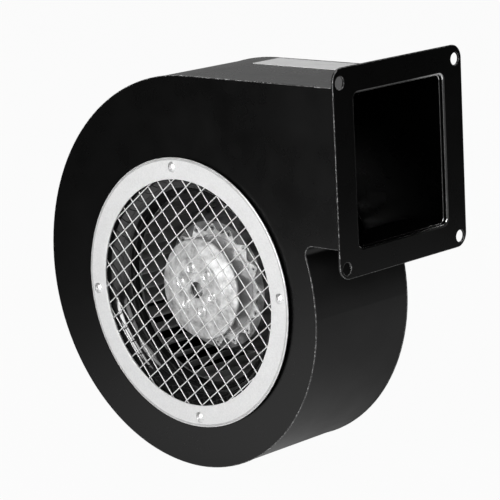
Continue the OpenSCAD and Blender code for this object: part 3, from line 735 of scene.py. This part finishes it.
def dome(radius, height, stop, steps=8):
    """Rings of a dome from its foot up to the ring of radius stop."""
    ball = (radius * radius + height * height) / (2 * height)
    first = math.asin(radius / ball)
    last = math.asin(stop / ball)
    angles = [first + (last - first) * i / steps for i in range(steps + 1)]
    return [(ball * math.sin(a), height - ball * (1 - math.cos(a)), 0) for a in angles]


def rivet_shape(radius, head, length):
    """Blind rivet: set tail, shank, domed head and the broken pin in its centre."""
    shank, tail, tail_len = 1.6 * MM, 2.5 * MM, 3.0 * MM
    cap = dome(radius, head, 1.25 * MM)
    rim = cap[-1][1]
    return [
        (tail - 0.5 * MM, -length, 0), (tail, -length + 0.6 * MM, 0), (tail, tail_len - length, 0),
        (shank, tail_len - length, 0), (shank, 0.0, 0), *cap, (1.0 * MM, rim - 0.15 * MM, 0),
        (0.95 * MM, rim - 0.5 * MM, 0), (0.55 * MM, rim - 0.45 * MM, 0), (0.2 * MM, rim - 0.3 * MM, 0),
    ]


def screw_shape(radius, head, length):
    """Button-head screw with a hexagon socket."""
    shank, socket = 2.0 * MM, 1.45 * MM
    cap = dome(radius, head, 1.75 * MM)
    rim = cap[-1][1]
    return [
        (shank - 0.4 * MM, -length, 0), (shank, -length + 0.4 * MM, 0), (shank, 0.0, 0), *cap,
        (socket, rim - 0.05 * MM, 6), (socket, rim - 1.3 * MM, 6), (0.3 * MM, rim - 1.6 * MM, 0),
    ]


fasteners("guard_rivets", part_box("guard_ring")[0].y, -1, rivet_shape, RIVET)
fasteners("plate_screws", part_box("motor_plate")[1].y, 1, screw_shape, PLATED)
fasteners("motor_screws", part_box("motor_flange")[1].y, 1, screw_shape, PLATED)


def pressed_cap():
    """Bearing cap with a rounded rim and a shallow dish."""
    low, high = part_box("bearing_cap")
    radius = (high.x - low.x) / 2
    skirt = 11.0 * MM
    face = high.y - low.y
    profile = [
        (skirt, 0.0, 0), (skirt, face - 1.5 * MM, 0), (radius - 0.3 * MM, face - 1.5 * MM, 0),
        (radius, face - 1.2 * MM, 0), (radius, face - 0.6 * MM, 0),
        (radius - 0.2 * MM, face - 0.2 * MM, 0), (radius - 0.6 * MM, face, 0),
        (skirt - 1.0 * MM, face, 0), (skirt - 2.0 * MM, face - 0.5 * MM, 0),
        (skirt - 4.0 * MM, face - 0.7 * MM, 0), (0.5 * MM, face - 0.75 * MM, 0),
    ]
    centre = Vector((FAN_AXIS.x, low.y, FAN_AXIS.z))
    verts, faces = turned_rings(profile, centre, 1, count=64)
    add_piece("bearing_cap_pressed", verts, faces, ZINC, "housing", ("bearing_cap",))


pressed_cap()


# Guard wires, drawn a little finer than their solids

def middle(points):
    """Mean place of some points."""
    return sum(points, Vector()) / len(points)


def wire_rings(tail, head, radius, count=16):
    """Verts and faces of a straight round wire with chamfered ends."""
    way = (head - tail).normalized()
    across = way.cross(Vector((0.0, 1.0, 0.0))).normalized()
    over = way.cross(across)
    chamfer = radius * 0.4
    rings = [(tail, radius - chamfer), (tail + way * chamfer, radius),
             (head - way * chamfer, radius), (head, radius - chamfer)]
    verts = []
    for place, reach in rings:
        for i in range(count):
            angle = 2 * math.pi * i / count
            verts.append(place + (across * math.cos(angle) + over * math.sin(angle)) * reach)
    return verts, ring_faces(0, count, len(rings)) + end_faces(len(verts), count)


def fine_wires(node):
    """Replaces a layer of the guard's mesh by wires along the same lines."""
    wires = []
    for points in solids_of(node):
        centre = middle(points)
        reach = max(points, key=lambda p: (p - centre).length) - centre
        ahead = [p for p in points if (p - centre).dot(reach) > 0]
        behind = [p for p in points if (p - centre).dot(reach) <= 0]
        wires.append(wire_rings(middle(behind), middle(ahead), WIRE_R))
    add_piece(node + "_fine", *joined(wires), WIRE, "housing", (node,))


fine_wires("guard_wires_front")
fine_wires("guard_wires_back")


# Paper label on the duct's top

def blank_label():
    """Plain label with rounded corners."""
    corner, thick, steps = 1.5 * MM, 0.16 * MM, 5
    loop = []
    for sx, sy, start in ((1, 1, 0), (-1, 1, 90), (-1, -1, 180), (1, -1, 270)):
        outer = Vector((LABEL_HIGH.x if sx > 0 else LABEL_LOW.x,
                        LABEL_HIGH.y if sy > 0 else LABEL_LOW.y))
        centre = outer - Vector((sx, sy)) * corner
        for i in range(steps + 1):
            angle = math.radians(start + 90 / steps * i)
            loop.append(centre + Vector((math.cos(angle), math.sin(angle))) * corner)
    edge = rounded_edge(0.05 * MM, thick)
    soft_sheet("blank_label", Z, DUCT_TOP + thick, -1, [(loop, edge)], (PAPER, PAPER))


blank_label()


# Floor, light and camera

def pale_floor():
    """White floor with the fan's shadow; mirrored in the fan it is pools of light that fade outwards."""
    bpy.ops.mesh.primitive_plane_add(size=FLOOR_SIZE, location=(FAN_AXIS.x, 0.0, FLOOR_Z))
    floor = bpy.context.object
    floor.name = "floor"
    s = Shader("pale_floor", Roughness=0.8)
    s.bsdf.inputs["Base Color"].default_value = FLOOR_TONE
    glow = s.node("ShaderNodeEmission", {"Color": WHITE, "Strength": 1.0})
    path = s.node("ShaderNodeLightPath").outputs
    mirrored = mirror_rays(s.tree, path)
    share = s.maths("MULTIPLY", path["Is Camera Ray"], FLOOR_WHITE)
    for place, inner, outer, strength in POOLS:
        values = {0: s.coords, 1: place}
        away = s.node("ShaderNodeVectorMath", values, operation="DISTANCE").outputs["Value"]
        values = {"Value": away, "From Min": inner, "From Max": outer, "To Min": strength, "To Max": 0.0}
        pool = s.node("ShaderNodeMapRange", values, interpolation_type="SMOOTHSTEP").outputs[0]
        share = s.maths("MULTIPLY_ADD", mirrored, pool, share)
    mix = s.node("ShaderNodeMixShader", {0: share, 1: s.bsdf.outputs[0], 2: glow.outputs[0]})
    s.tree.links.new(mix.outputs[0], s.tree.nodes["Material Output"].inputs["Surface"])
    floor.data.materials.append(s.mat)


def studio_world():
    """White to the camera; to reflections a white backdrop behind the fan and a dim room elsewhere."""
    world = bpy.data.worlds.new("studio")
    bpy.context.scene.world = world
    world.use_nodes = True
    tree = world.node_tree

    def made(kind, inputs=None, **settings):
        return add_node(tree, kind, inputs, **settings)

    def background(strength):
        return made("ShaderNodeBackground", {"Color": WHITE, "Strength": strength}).outputs[0]

    def mixed(fac, first, second):
        return made("ShaderNodeMixShader", {0: fac, 1: first, 2: second}).outputs[0]

    towards = made("ShaderNodeTexCoord").outputs["Generated"]
    facing = made("ShaderNodeVectorMath", {0: towards, 1: BACKDROP_WAY}, operation="DOT_PRODUCT")
    low, high = BACKDROP_FADE
    values = {"Value": facing.outputs["Value"], "From Min": low, "From Max": high,
              "To Min": ROOM_DIM, "To Max": BACKDROP}
    fade = made("ShaderNodeMapRange", values).outputs[0]
    path = made("ShaderNodeLightPath").outputs
    room = mixed(mirror_rays(tree, path), background(ROOM_LIGHT), background(fade))
    seen = mixed(path["Is Camera Ray"], room, background(1.0))
    tree.links.new(seen, tree.nodes["World Output"].inputs["Surface"])


def softbox(name, place, size, watts, spread):
    """An area lamp that faces the fan's middle."""
    light = bpy.data.lights.new(name, "AREA")
    light.spread = math.radians(spread)
    light.shape = "RECTANGLE"
    light.size, light.size_y = size
    light.energy = watts
    lamp = bpy.data.objects.new(name, light)
    bpy.context.scene.collection.objects.link(lamp)
    lamp.location = CENTRE + Vector(place)
    lamp.rotation_euler = (-Vector(place)).to_track_quat("-Z", "Y").to_euler()


def photo_camera():
    """Camera at the photograph's view."""
    azimuth, elevation, roll = (math.radians(a) for a in (VIEW_AZIMUTH, VIEW_ELEVATION, VIEW_ROLL))
    level = math.cos(elevation)
    back = Vector((math.sin(azimuth) * level, -math.cos(azimuth) * level, math.sin(elevation)))
    right = (-back).cross(Vector((0.0, 0.0, 1.0))).normalized()
    up = right.cross(-back)
    turned_right = right * math.cos(roll) + up * math.sin(roll)
    turned_up = up * math.cos(roll) - right * math.sin(roll)
    camera = bpy.data.objects.new("photo_camera", bpy.data.cameras.new("photo_camera"))
    bpy.context.scene.collection.objects.link(camera)
    camera.data.sensor_width = SENSOR_MM
    camera.data.lens = VIEW_FOCAL_PX / VIEW_FRAME_PX * SENSOR_MM
    camera.data.clip_end = CLIP_END
    turn = Matrix((turned_right, turned_up, back)).transposed().to_4x4()
    camera.matrix_world = Matrix.Translation(VIEW_POS) @ turn
    bpy.context.scene.camera = camera


pale_floor()
studio_world()
for name, settings in LAMPS.items():
    softbox(name, *settings)
photo_camera()
bpy.context.scene.view_settings.view_transform = "Standard"
